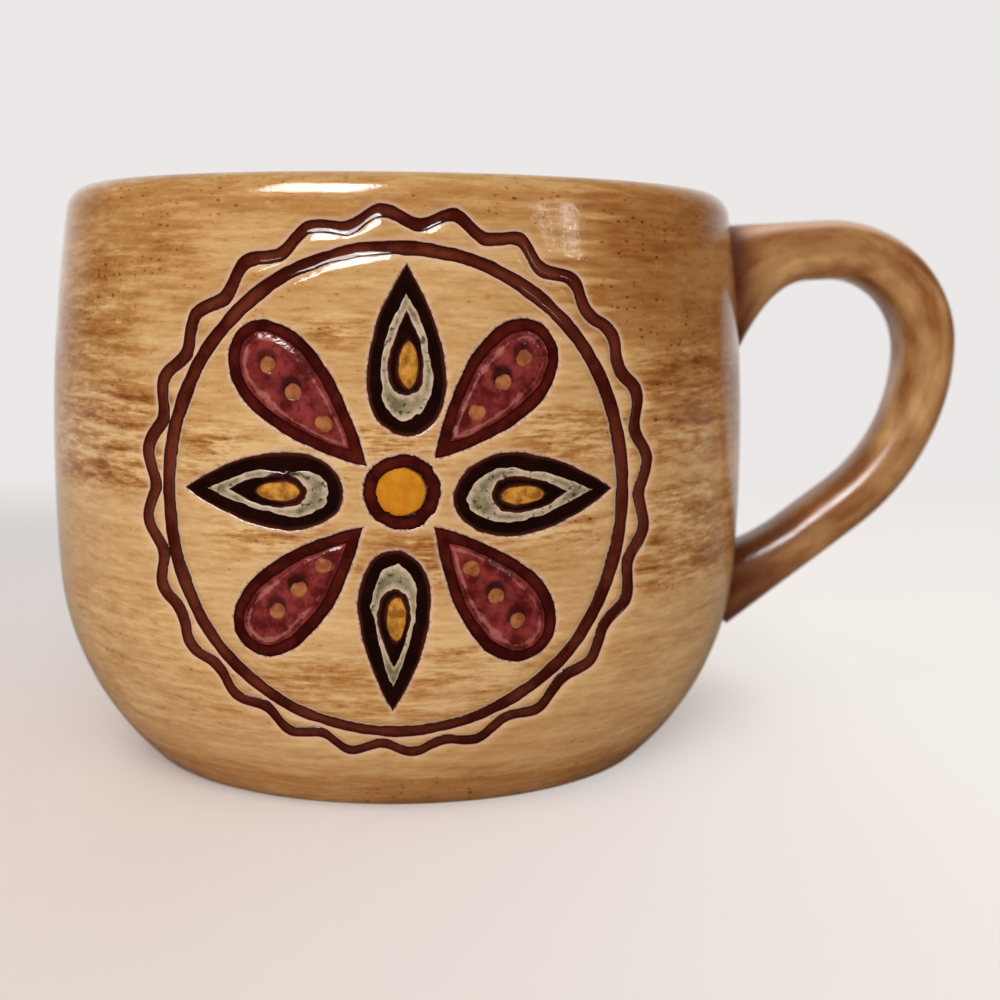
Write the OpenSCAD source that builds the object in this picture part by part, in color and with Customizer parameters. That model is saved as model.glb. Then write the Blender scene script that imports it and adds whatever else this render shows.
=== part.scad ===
// Earthenware cup with a loop handle and a carved rosette filled with coloured glaze.
// The cup stands on its foot at the origin, +Z up. The handle points to +X and the rosette faces -Y.
// The clay is a cast shell of even wall, the handle is luted to it, and each glaze fill sits in its carving.

/* [Cup] */
// Height from the table to the lip
cup_h = 73; // [66:0.5:90]
// Outside diameter at the belly
belly_d = 90.5; // [80:0.5:110]
// Height of the belly above the table
belly_z = 38.5; // [34:0.5:44]
// Radius of the long curve of the wall, seen from the side
barrel_r = 220; // [180:2:400]
// Height at which the wall turns in towards the foot
haunch_z = 24.7; // [20:0.1:29]
// Radius of the turn towards the foot
haunch_r = 36; // [32:0.5:44]
// Thickness of the wall
wall = 4.8; // [3.6:0.1:6.5]
// Rounding of the outer edge of the lip
lip_r = 3.4; // [2:0.1:4.5]
// Thickness of the floor
floor_t = 4.5; // [3:0.1:7]
// Rounding inside, where the floor meets the wall
corner_r = 8; // [4:0.5:12]

/* [Foot] */
// Width of the ring that the cup stands on
foot_w = 4.5; // [3:0.1:8]
// Depth of the hollow under the floor, inside the ring
foot_hollow = 1.6; // [0.8:0.1:3]
// Rounding of the outer edge of the foot
foot_edge_r = 1.6; // [0.4:0.1:2]
// Slope of the hollow's side, as a run across for its whole depth
foot_draft = 0.9; // [0.3:0.1:2]

/* [Handle] */
// How far the handle stands out from the belly
handle_reach = 29.3; // [26:0.1:40]
// Height of the middle of the upper end, at the belly's radius
handle_top_z = 65.5; // [60:0.1:67]
// Rise of the upper run, in degrees
upper_rise = 3.5; // [0:0.5:12]
// Radius of the upper bend, at the middle of the handle
upper_bend_r = 13.2; // [11:0.2:18]
// Radius of the lower bend, at the middle of the handle
lower_bend_r = 26.6; // [22:0.2:32]
// Slope of the lower run, in degrees from level
lower_slope = 37; // [28:1:44]
// Thickness of the upper run, seen from the side
handle_t = 7.9; // [6:0.1:10]
// Thickness from the outermost point down, to which the upper bend thins
lower_t = 6.8; // [5:0.1:10]
// Width of the handle, seen from its end
handle_w = 11; // [9:0.5:18]
// How much the upper end deepens below where it meets the cup
upper_flare = 9; // [4:0.5:11]
// Length over which the upper end deepens
upper_flare_run = 10; // [7:0.5:13]
// How much the lower end deepens above where it meets the cup
lower_flare = 3.1; // [0:0.1:5]
// How much each end widens where it meets the cup
root_spread = 3; // [0:0.2:5]

/* [Rosette border] */
// Bare height between the lip and the border
lip_margin = 3.7; // [3.6:0.1:10]
// Bare height between the table and the border, with the haunch rolled flat
foot_margin = 6.7; // [6:0.1:14]
// Depth of the carving
carve_depth = 0.9; // [0.5:0.05:1.5]
// Number of scallops round the border
scallops = 24; // [16:1:36]
// Height of each scallop
scallop_rise = 1.4; // [0.8:0.1:2]
// Turn of the border, in degrees
scallop_turn = 5.4; // [0:0.1:20]
// Width of the border line
border_w = 1.5; // [0.8:0.1:1.8]
// Bare gap between the border and the ring
border_gap = 0.6; // [0.3:0.1:1.5]
// Width of the ring line
ring_w = 1.6; // [1:0.1:2.2]

/* [Rosette middle] */
// Outside diameter of the middle, with its line
centre_d = 7.6; // [6:0.1:8.5]
// Width of the line round the middle
centre_w = 1.1; // [0.7:0.1:1.8]

/* [Grey petals] */
// Gap between the ring and the petals
ring_gap = 1.2; // [0.6:0.1:3]
// Gap between the middle and the round end of a grey petal
grey_gap = 2.3; // [1.4:0.1:4]
// Width of a grey petal, with its line
grey_w = 8.5; // [7.6:0.1:9.2]
// Width of the line round a grey petal
grey_line_w = 1.5; // [0.8:0.05:1.75]
// Width of a grey petal's core, with its line
core_w = 3.5; // [2.8:0.1:4]
// Distance from a grey petal's round end to its core's round end
core_back = 4.3; // [3.6:0.1:5]
// Distance from a core's point to the petal's sides
core_tip_gap = 2.75; // [2.4:0.05:3.4]
// Width of the line round a core, at its round end and its sides
core_line_w = 0.8; // [0.4:0.05:0.9]
// Length of the amber in a core
amber_len = 5.2; // [4:0.1:6]

/* [Red petals] */
// Gap between the middle and the point of a red petal
red_gap = 1.4; // [0.8:0.1:4]
// Width of a red petal, with its line
red_w = 9.4; // [8:0.1:10]
// Width of the line round a red petal
red_line_w = 1.3; // [0.8:0.05:1.6]
// Diameter of the dots on a red petal
dot_d = 2; // [1.4:0.1:2.2]
// Distance from a red petal's round end to the middle of its first dot
dot_back = 5.2; // [4:0.1:6]
// Distance from a red petal's point to the middle of its last dot
dot_front = 6.4; // [5.6:0.1:7]

/* [Glaze] */
// Depth of the glaze below the skin in the lines
line_sink = 0.4; // [0.1:0.05:0.45]
// Depth of the glaze below the skin in the petals
field_sink = 0.2; // [0.05:0.05:0.4]
// Depth of the glaze below the skin on the amber spots
spot_sink = 0.1; // [0.02:0.02:0.3]

/* [Hidden] */
$fn = 96;
clay = "burlywood";
line_colour = "#4a1c14";
dark_colour = "#1c1210";
grey_colour = "#9aa79f";
red_colour = "#8c3038";
amber_colour = "#cf8a1e";

// The wall's side view is a long barrel curve that runs smoothly into the haunch.
belly_r = belly_d / 2;
barrel_c = [belly_r - barrel_r, belly_z];
haunch_a = asin((haunch_z - belly_z) / barrel_r);
haunch_c = barrel_c + (barrel_r - haunch_r) * [cos(haunch_a), sin(haunch_a)];
barrel_steps = 14;
haunch_steps = 12;
round_steps = 8;

// The lip is rounded over the whole wall: lip_r outside, and what is left of the wall inside.
lip_out = min(lip_r, 0.85 * wall);
lip_in = wall - lip_out;
lip_out_a = asin((cup_h - lip_out - belly_z) / (barrel_r - lip_out));
lip_in_a = asin((cup_h - lip_in - belly_z) / (barrel_r - wall + lip_in));
lip_out_c = barrel_c + (barrel_r - lip_out) * [cos(lip_out_a), sin(lip_out_a)];
lip_in_c = barrel_c + (barrel_r - wall + lip_in) * [cos(lip_in_a), sin(lip_in_a)];

// The foot's outer edge is tangent to the haunch and to the table.
foot_edge_c = [haunch_c.x + sqrt(pow(haunch_r - foot_edge_r, 2) - pow(foot_edge_r - haunch_c.y, 2)),
               foot_edge_r];
foot_a = atan2(foot_edge_c.y - haunch_c.y, foot_edge_c.x - haunch_c.x);
foot_in_r = foot_edge_c.x - foot_w;

// The inside corner is tangent to the haunch and to the floor.
floor_z = foot_hollow + floor_t;
corner_c = [haunch_c.x + sqrt(pow(haunch_r - wall - corner_r, 2) - pow(floor_z + corner_r - haunch_c.y, 2)),
            floor_z + corner_r];
corner_a = atan2(corner_c.y - haunch_c.y, corner_c.x - haunch_c.x);

// The rosette fills the height between its two margins, from the border inwards to the middle.
drop_peak = 4 / (3 * sqrt(3));
rosette_r = (cup_h - lip_margin - foot_margin) / 2;
rosette_z = foot_margin + rosette_r;
border_r = rosette_r - (border_w + scallop_rise) / 2;
ring_r = border_r - (border_w + scallop_rise) / 2 - border_gap;
petal_out_r = ring_r - ring_w - ring_gap;
grey_in_r = centre_d / 2 + grey_gap;
grey_len = petal_out_r - grey_in_r;
core_len = grey_len - core_back - tip_back(grey_len, grey_w, core_tip_gap);
red_in_r = centre_d / 2 + red_gap;
red_len = petal_out_r - red_in_r;
dots = 3;
dot_pitch = (red_len - dot_back - dot_front) / (dots - 1);
scallop_power = 1.6;
scallop_steps = 8;
ring_steps = 120;
drop_steps = 32;

// The carved area is a patch of the skin in front, a little wider than the rosette.
patch_a = 60;
cut_clear = 1;

// The handle's middle line: a rising run, two bends and a sloping run back to the cup.
bend_x = handle_reach - lower_t / 2 - upper_bend_r;
upper_c = [belly_r + bend_x, handle_top_z + bend_x * tan(upper_rise) - upper_bend_r / cos(upper_rise)];
lower_c = upper_c + [upper_bend_r - lower_bend_r, 0];
root_in_r = belly_r - wall - 1;
// The roots widen on until they are inside the wall.
flare_in_r = belly_r - wall / 4;
section_sides = 28;
section_power = 3.2;
run_steps = 12;
bend_steps = 12;

sides = ["top", "right", "bottom", "left"];
side_a = [90, 0, -90, 180];
corners = ["upper_right", "lower_right", "lower_left", "upper_left"];
corner_dir = [45, -45, -135, 135];

function arc(c, r, from, to, steps, first = 0) =
    [for (i = [first:steps]) let (a = from + (to - from) * i / steps) c + r * [cos(a), sin(a)]];
function backwards(points) = [for (i = [len(points) - 1:-1:0]) points[i]];

// The wall's outer line from the foot to the lip, moved inwards by inset.
function skin_line(inset) = concat(
    arc(haunch_c, haunch_r - inset, foot_a, haunch_a, haunch_steps),
    arc(barrel_c, barrel_r - inset, haunch_a, lip_out_a, barrel_steps, 1));

outer_line = concat(
    arc(foot_edge_c, foot_edge_r, -90, foot_a - (90 + foot_a) / round_steps, round_steps - 1),
    skin_line(0),
    arc(lip_out_c, lip_out, lip_out_a, 90, round_steps, 1));

inner_line = concat(
    arc(lip_in_c, lip_in, 90, 180 + lip_in_a, round_steps),
    arc(barrel_c, barrel_r - wall, lip_in_a, haunch_a, barrel_steps, 1),
    arc(haunch_c, haunch_r - wall, haunch_a, corner_a, haunch_steps, 1),
    arc(corner_c, corner_r, corner_a, -90, round_steps, 1));

// The rosette is drawn flat, with its middle at [0, 0], and laid on the skin: across along the belly's
// circle, and down along the barrel and round the haunch. This gives the front view of a flat point.
function on_skin(p) = let (z = rosette_z + p.y, turn = max(0, haunch_z - z) / haunch_r * 180 / PI)
    [belly_r * sin(p.x / belly_r * 180 / PI),
     max(z, haunch_z) + haunch_r * (sin(haunch_a - turn) - sin(haunch_a))];
// The same for an outline along the X axis, moved out by start and turned by angle.
function laid(points, start, angle) = [for (p = points) let (q = p + [start, 0])
    on_skin([q.x * cos(angle) - q.y * sin(angle), q.x * sin(angle) + q.y * cos(angle)])];

// A petal's outline, round at x = 0 and pointed at x = length, with its sides moved in by inset.
function drop(length, width) =
    [for (i = [0:drop_steps - 1]) let (t = 360 * i / drop_steps)
        [length * (1 + cos(t)) / 2, width / 2 / drop_peak * sin(t) * sin(t / 2)]];
function tip_back(length, width, inset) = inset / sin(atan(width / (drop_peak * length)));
function petal(length, width, inset) =
    [for (p = drop(length - inset - tip_back(length, width, inset), width - 2 * inset)) p + [inset, 0]];
// The amber in a core, an oval from x = 0 to x = length.
function oval(length, width) =
    [for (i = [0:drop_steps - 1]) let (t = 360 * i / drop_steps) [length * (1 + cos(t)) / 2, width / 2 * sin(t)]];

module grey_shape(i, inset = 0) { polygon(laid(petal(grey_len, grey_w, inset), grey_in_r, side_a[i])); }
module core_shape(i) { polygon(laid(drop(core_len, core_w), grey_in_r + core_back, side_a[i])); }
module amber_shape(i) {
    polygon(laid(oval(amber_len, core_w - 2 * core_line_w), grey_in_r + core_back + core_line_w, side_a[i]));
}
module red_shape(i, inset = 0) {
    polygon(laid(petal(red_len, red_w, inset), -petal_out_r, corner_dir[i] + 180));
}
module dots_shape(i) {
    for (k = [0:dots - 1])
        translate(laid([[0, 0]], petal_out_r - dot_back - k * dot_pitch, corner_dir[i])[0]) circle(d = dot_d);
}
module centre_shape(inset = 0) { translate(on_skin([0, 0])) circle(d = centre_d - 2 * inset); }

module scallop_shape(r) {
    count = scallops * scallop_steps;
    polygon([for (i = [0:count - 1]) let (a = 360 * i / count)
        laid([[r + scallop_rise * (pow(abs(cos(a * scallops / 2)), scallop_power) - 1 / 2), 0]],
             0, a + scallop_turn)[0]]);
}
module border_shape() {
    difference() {
        scallop_shape(border_r + border_w / 2);
        scallop_shape(border_r - border_w / 2);
    }
}

module disc_shape(r) { polygon([for (p = arc([0, 0], r, 0, 360, ring_steps, 1)) on_skin(p)]); }
module ring_shape() {
    difference() {
        disc_shape(ring_r);
        disc_shape(ring_r - ring_w);
    }
}

module carved_shapes() {
    border_shape();
    ring_shape();
    centre_shape();
    for (i = [0:3]) {
        grey_shape(i);
        red_shape(i);
    }
}

// Stands a flat shape up in front of the cup and runs it back to the cup's middle.
module through_front() {
    rotate([90, 0, 0]) linear_extrude(belly_d) children();
}

// A patch of the front wall from sink to depth below the skin.
module skin_patch(sink, depth) {
    rotate([0, 0, -90 - patch_a]) rotate_extrude(angle = 2 * patch_a)
        polygon(concat(skin_line(sink), backwards(skin_line(depth))));
}

module glaze(sink) {
    intersection() {
        through_front() children();
        skin_patch(sink, carve_depth);
    }
}

module cup_outside() {
    rotate_extrude() polygon(concat([[0, 0]], outer_line, [[0, cup_h]]));
}

module cup_body() {
    color(clay) difference() {
        rotate_extrude() polygon(concat(
            [[0, foot_hollow], [foot_in_r - foot_draft, foot_hollow], [foot_in_r, 0]],
            outer_line, inner_line, [[0, floor_z]]));
        intersection() {
            through_front() carved_shapes();
            skin_patch(-cut_clear, carve_depth);
        }
    }
}

// Handle stations: [middle, heading, thickness, growth of the inner side, share of the root's spread].
function along(h) = [cos(h), sin(h)];
function across(h) = [-sin(h), cos(h)];
lower_heading = lower_slope - 180;
upper_end = upper_c + upper_bend_r * across(upper_rise);
lower_end = lower_c + lower_bend_r * across(lower_heading);
upper_run = (upper_end.x - root_in_r) / cos(upper_rise);
lower_run = (lower_end.x - root_in_r) / cos(lower_slope);
function fade(s, reach) = pow(max(0, 1 - max(0, s) / reach), 2);

handle_stations = concat(
    [for (i = [0:run_steps]) let (p = upper_end - upper_run * (1 - i / run_steps) * along(upper_rise),
                                  f = fade(p.x - flare_in_r, upper_flare_run))
        [p, upper_rise, handle_t, upper_flare * f, f]],
    [for (i = [1:bend_steps]) let (h = upper_rise - (90 + upper_rise) * i / bend_steps)
        [upper_c + upper_bend_r * across(h), h, handle_t + (lower_t - handle_t) * i / bend_steps, 0, 0]],
    [for (i = [1:bend_steps]) let (h = -90 + (lower_heading + 90) * i / bend_steps)
        [lower_c + lower_bend_r * across(h), h, lower_t, 0, 0]],
    [for (i = [1:run_steps]) let (p = lower_end + lower_run * i / run_steps * along(lower_heading),
                                  f = fade(p.x - flare_in_r, upper_flare_run))
        [p, lower_heading, lower_t, lower_flare * f, f]]);

function power(v, e) = sign(v) * pow(abs(v), e);
// One oval section of the handle, across its heading, as points in space.
function section(s) = let (thick = s[2] + s[3], mid = s[0] - s[3] / 2 * across(s[1]),
                           wide = handle_w + root_spread * s[4])
    [for (k = [0:section_sides - 1])
        let (a = 360 * k / section_sides,
             p = mid + thick / 2 * power(cos(a), 2 / section_power) * across(s[1]))
        [p.x, wide / 2 * power(sin(a), 2 / section_power), p.y]];

// Joins a row of sections into one closed solid.
module loft(sections) {
    n = len(sections[0]);
    last = len(sections) - 1;
    polyhedron(
        points = [for (s = sections) each s],
        faces = concat(
            [[for (k = [0:n - 1]) k]],
            [for (j = [0:last - 1], k = [0:n - 1]) let (a = j * n + k, b = j * n + (k + 1) % n)
                each [[a, a + n, b + n], [a, b + n, b]]],
            [[for (k = [n - 1:-1:0]) last * n + k]]));
}

module handle() {
    color(clay) difference() {
        loft([for (s = handle_stations) section(s)]);
        cup_outside();
    }
}

module border_line() { color(line_colour) glaze(line_sink) border_shape(); }
module ring_line() { color(line_colour) glaze(line_sink) ring_shape(); }

module centre_line() {
    color(line_colour) glaze(line_sink) difference() {
        centre_shape();
        centre_shape(centre_w);
    }
}
module centre_disc() { color(amber_colour) glaze(spot_sink) centre_shape(centre_w); }

module grey_line(i) {
    color(dark_colour) glaze(line_sink) difference() {
        grey_shape(i);
        grey_shape(i, grey_line_w);
    }
}
module grey_petal(i) {
    color(grey_colour) glaze(field_sink) difference() {
        grey_shape(i, grey_line_w);
        core_shape(i);
    }
}
module core_line(i) {
    color(dark_colour) glaze(line_sink) difference() {
        core_shape(i);
        amber_shape(i);
    }
}
module amber_core(i) { color(amber_colour) glaze(spot_sink) amber_shape(i); }

module red_line(i) {
    color(line_colour) glaze(line_sink) difference() {
        red_shape(i);
        red_shape(i, red_line_w);
    }
}
module red_petal(i) {
    color(red_colour) glaze(field_sink) difference() {
        red_shape(i, red_line_w);
        dots_shape(i);
    }
}
module amber_dots(i) { color(amber_colour) glaze(spot_sink) dots_shape(i); }

cup_body();
handle();
border_line();
ring_line();
centre_line();
centre_disc();
for (i = [0:3]) {
    grey_line(i);
    grey_petal(i);
    core_line(i);
    amber_core(i);
    red_line(i);
    red_petal(i);
    amber_dots(i);
}
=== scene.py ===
"""Looks of a glazed earthenware cup with a loop handle and a carved rosette, built round its solid model.

Lengths are in millimetres until they reach Blender. The rosette is kept as a flat drawing, with u to the
right and v up, which is then laid on the cup's wall.
"""

import logging
import math
from dataclasses import dataclass, field
from enum import Enum

import bpy
import numpy as np
from bpy.types import Material, Node, NodeSocket, NodeTree, Object
from mathutils import Matrix, Vector

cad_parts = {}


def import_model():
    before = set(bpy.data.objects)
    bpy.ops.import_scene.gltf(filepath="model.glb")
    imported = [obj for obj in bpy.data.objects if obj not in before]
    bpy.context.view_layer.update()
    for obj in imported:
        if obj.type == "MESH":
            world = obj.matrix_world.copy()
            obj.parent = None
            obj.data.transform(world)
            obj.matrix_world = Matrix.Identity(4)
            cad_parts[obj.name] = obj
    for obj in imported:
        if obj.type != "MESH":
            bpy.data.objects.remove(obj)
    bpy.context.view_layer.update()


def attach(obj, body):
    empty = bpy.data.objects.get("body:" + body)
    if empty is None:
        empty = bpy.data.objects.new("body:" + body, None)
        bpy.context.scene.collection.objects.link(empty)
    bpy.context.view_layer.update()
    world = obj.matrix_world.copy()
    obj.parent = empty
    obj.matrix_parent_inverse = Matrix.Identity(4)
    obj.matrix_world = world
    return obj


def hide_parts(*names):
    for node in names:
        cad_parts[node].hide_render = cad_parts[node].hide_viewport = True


log = logging.getLogger("earthenware_cup")

MM = 0.001
PER_MM = 1000.0
BODY = "root"
# A petal's outline is a drop curve, and this is the greatest height of sin(t) * sin(t / 2).
DROP_PEAK = 4 / (3 * math.sqrt(3))
# Where dark glaze ran over a grey petal, in radians round its outline.
OVERRUN_AT = 4.35
# How dark the painted shadow above each of a red petal's three dots is.
DOT_SHADES = (0.7, 0.9, 0.25)
# How many waves of each kind a hand-cut edge has on its way round.
TREMOR_WAVES = (2, 3, 5, 9, 14, 23)
QUARTER = math.pi / 2
TINY = 1e-12


def linear(code: str) -> tuple[float, float, float, float]:
    """Turn an sRGB hex value into Blender's linear colour.

    Args:
        code: The colour, such as "#D8B080".
    Returns:
        Linear red, green, blue and an alpha of 1.
    """
    parts = [int(code[i:i + 2], 16) / 255 for i in (1, 3, 5)]
    return (*[c / 12.92 if c <= 0.04045 else ((c + 0.055) / 1.055) ** 2.4 for c in parts], 1.0)


def add_node(tree: NodeTree, kind: str, links: dict | None = None, **settings: object) -> Node:
    """Add one node with its settings and links.

    Args:
        tree: The node tree that gets the node.
        kind: Blender's name for the kind of shader node, such as "Math".
        links: For each input, by name or number, a socket to link or a value to set.
        **settings: The node's own properties.
    Returns:
        The new node.
    """
    node = tree.nodes.new("ShaderNode" + kind)
    for key, value in settings.items():
        setattr(node, key, value)
    for key, value in (links or {}).items():
        if isinstance(value, NodeSocket):
            tree.links.new(value, node.inputs[key])
        else:
            node.inputs[key].default_value = value
    return node


def new_finish(name: str) -> tuple[Material, NodeTree]:
    """Start a material that has no nodes.

    Args:
        name: The material's name.
    Returns:
        The material and its node tree.
    """
    material = bpy.data.materials.new(name)
    material.use_nodes = True
    material.node_tree.nodes.clear()
    return material, material.node_tree


def round_turn(steps: int) -> tuple[np.ndarray, np.ndarray]:
    """Give evenly spaced angles of one full turn, and the point one step away at each."""
    turn = np.linspace(0, 2 * math.pi, steps, endpoint=False)
    return turn, np.stack([np.cos(turn), np.sin(turn)], 1)


def tremor(turn: np.ndarray, seed: int, size: float) -> np.ndarray:
    """Give the unevenness of a hand-cut edge that closes on itself.

    Args:
        turn: Places along the edge in radians, one full turn for the whole edge.
        seed: Picks the edge, so that no two stray alike.
        size: About how far the edge strays.
    Returns:
        The stray at each place.
    """
    rng = np.random.RandomState(seed)
    waves = [(k, rng.uniform(0, 2 * math.pi)) for k in TREMOR_WAVES]
    return size * sum(np.sin(k * turn + p) / math.sqrt(k) for k, p in waves) / 1.3


def smooth(x: np.ndarray) -> np.ndarray:
    """Ease from 0 to 1 as x goes from 0 to 1."""
    x = np.clip(x, 0, 1)
    return x * x * (3 - 2 * x)


def loop_distance(spots: np.ndarray, loop: np.ndarray) -> np.ndarray:
    """Measure how far flat points lie from a closed line.

    Args:
        spots: The points, one row each.
        loop: The closed line's corners, one row each.
    Returns:
        The distances, below zero inside the line.
    """
    start, step = loop, np.roll(loop, -1, 0) - loop
    size = np.maximum((step ** 2).sum(1), TINY)
    rise = np.where(np.abs(step[:, 1]) < TINY, TINY, step[:, 1])
    result = np.empty(len(spots))
    # A few thousand points at a time, to save memory.
    for part in np.array_split(np.arange(len(spots)), max(1, len(spots) // 4000)):
        away = spots[part, None, :] - start[None]
        share = np.clip((away * step[None]).sum(2) / size[None], 0, 1)
        near = np.sqrt(((away - share[..., None] * step[None]) ** 2).sum(2).min(1))
        below = away[..., 1] < 0
        crosses = below != ((away - step[None])[..., 1] < 0)
        right = away[..., 0] < away[..., 1] / rise[None] * step[None, :, 0]
        inside = (crosses & right).sum(1) % 2 == 1
        result[part] = np.where(inside, -near, near)
    return result


class Workbench:
    """The few modelling steps that every piece goes through."""

    @staticmethod
    def pick(*pieces: Object) -> None:
        """Select these pieces and no others, and make the first active."""
        bpy.ops.object.select_all(action="DESELECT")
        for piece in pieces:
            piece.select_set(True)
        if pieces:
            bpy.context.view_layer.objects.active = pieces[0]

    @staticmethod
    def grid(name: str, columns: int, rows: int) -> tuple[Object, np.ndarray, np.ndarray]:
        """Add a flat sheet of quads as the start of a piece.

        Args:
            name: The piece's name.
            columns: Quads along the sheet.
            rows: Quads across the sheet.
        Returns:
            The piece, and each vertex's column and row.
        """
        Workbench.pick()
        bpy.ops.mesh.primitive_grid_add(x_subdivisions=columns, y_subdivisions=rows, size=2)
        piece = bpy.context.object
        piece.name = piece.data.name = name
        flat = np.empty(len(piece.data.vertices) * 3)
        piece.data.vertices.foreach_get("co", flat)
        flat = flat.reshape(-1, 3)
        return (piece, np.rint((flat[:, 0] + 1) / 2 * columns).astype(int),
                np.rint((flat[:, 1] + 1) / 2 * rows).astype(int))

    @staticmethod
    def place(piece: Object, points: np.ndarray) -> None:
        """Move every vertex of a piece to its point.

        Args:
            piece: The piece.
            points: The points in millimetres, one row for each vertex.
        """
        piece.data.vertices.foreach_set("co", (points * MM).ravel())
        piece.data.update()

    @staticmethod
    def mark(piece: Object, name: str, values: np.ndarray) -> None:
        """Keep a number for each vertex, for the finish to read.

        Args:
            piece: The piece.
            name: The attribute's name.
            values: One number for each vertex.
        """
        layer = piece.data.attributes.new(name, "FLOAT", "POINT")
        layer.data.foreach_set("value", np.asarray(values, np.float32))

    @staticmethod
    def weld(piece: Object, outward: bool = True) -> None:
        """Merge doubled vertices and turn the faces outwards.

        Args:
            piece: The piece.
            outward: Whether the piece is a closed shell, whose normals Blender can work out.
        """
        Workbench.pick(piece)
        bpy.ops.object.mode_set(mode="EDIT")
        bpy.ops.mesh.select_all(action="SELECT")
        bpy.ops.mesh.remove_doubles(threshold=1e-7)
        if outward:
            bpy.ops.mesh.normals_make_consistent(inside=False)
        bpy.ops.object.mode_set(mode="OBJECT")

    @staticmethod
    def modify(piece: Object, kind: str, **settings: object) -> None:
        """Add a modifier to a piece and apply it.

        Args:
            piece: The piece.
            kind: Blender's name for the modifier.
            **settings: The modifier's own properties.
        """
        Workbench.pick(piece)
        modifier = piece.modifiers.new(kind.lower(), kind)
        for key, value in settings.items():
            setattr(modifier, key, value)
        bpy.ops.object.modifier_apply(modifier=modifier.name)

    @staticmethod
    def soften(piece: Object, angle: float) -> None:
        """Shade a piece smooth, apart from edges sharper than angle in degrees."""
        Workbench.pick(piece)
        bpy.ops.object.shade_smooth_by_angle(angle=math.radians(angle))

    @staticmethod
    def hand_over(piece: Object, node: str, slot: str, *finishes: Material) -> None:
        """Dress a finished piece and let it stand for its solid.

        Args:
            piece: The piece.
            node: The solid that the piece replaces.
            slot: Not used.
            *finishes: The piece's materials, in the order of its material slots.
        """
        for finish in finishes:
            piece.data.materials.append(finish)
        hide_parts(node)
        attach(piece, BODY)
        log.info("%s: %d faces for %s", piece.name, len(piece.data.polygons), node)


class Brushing(Enum):
    """Which way the streaks of the brushed glaze run."""

    ROUND = "round the cup"
    ALONG = "along the handle"


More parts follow.
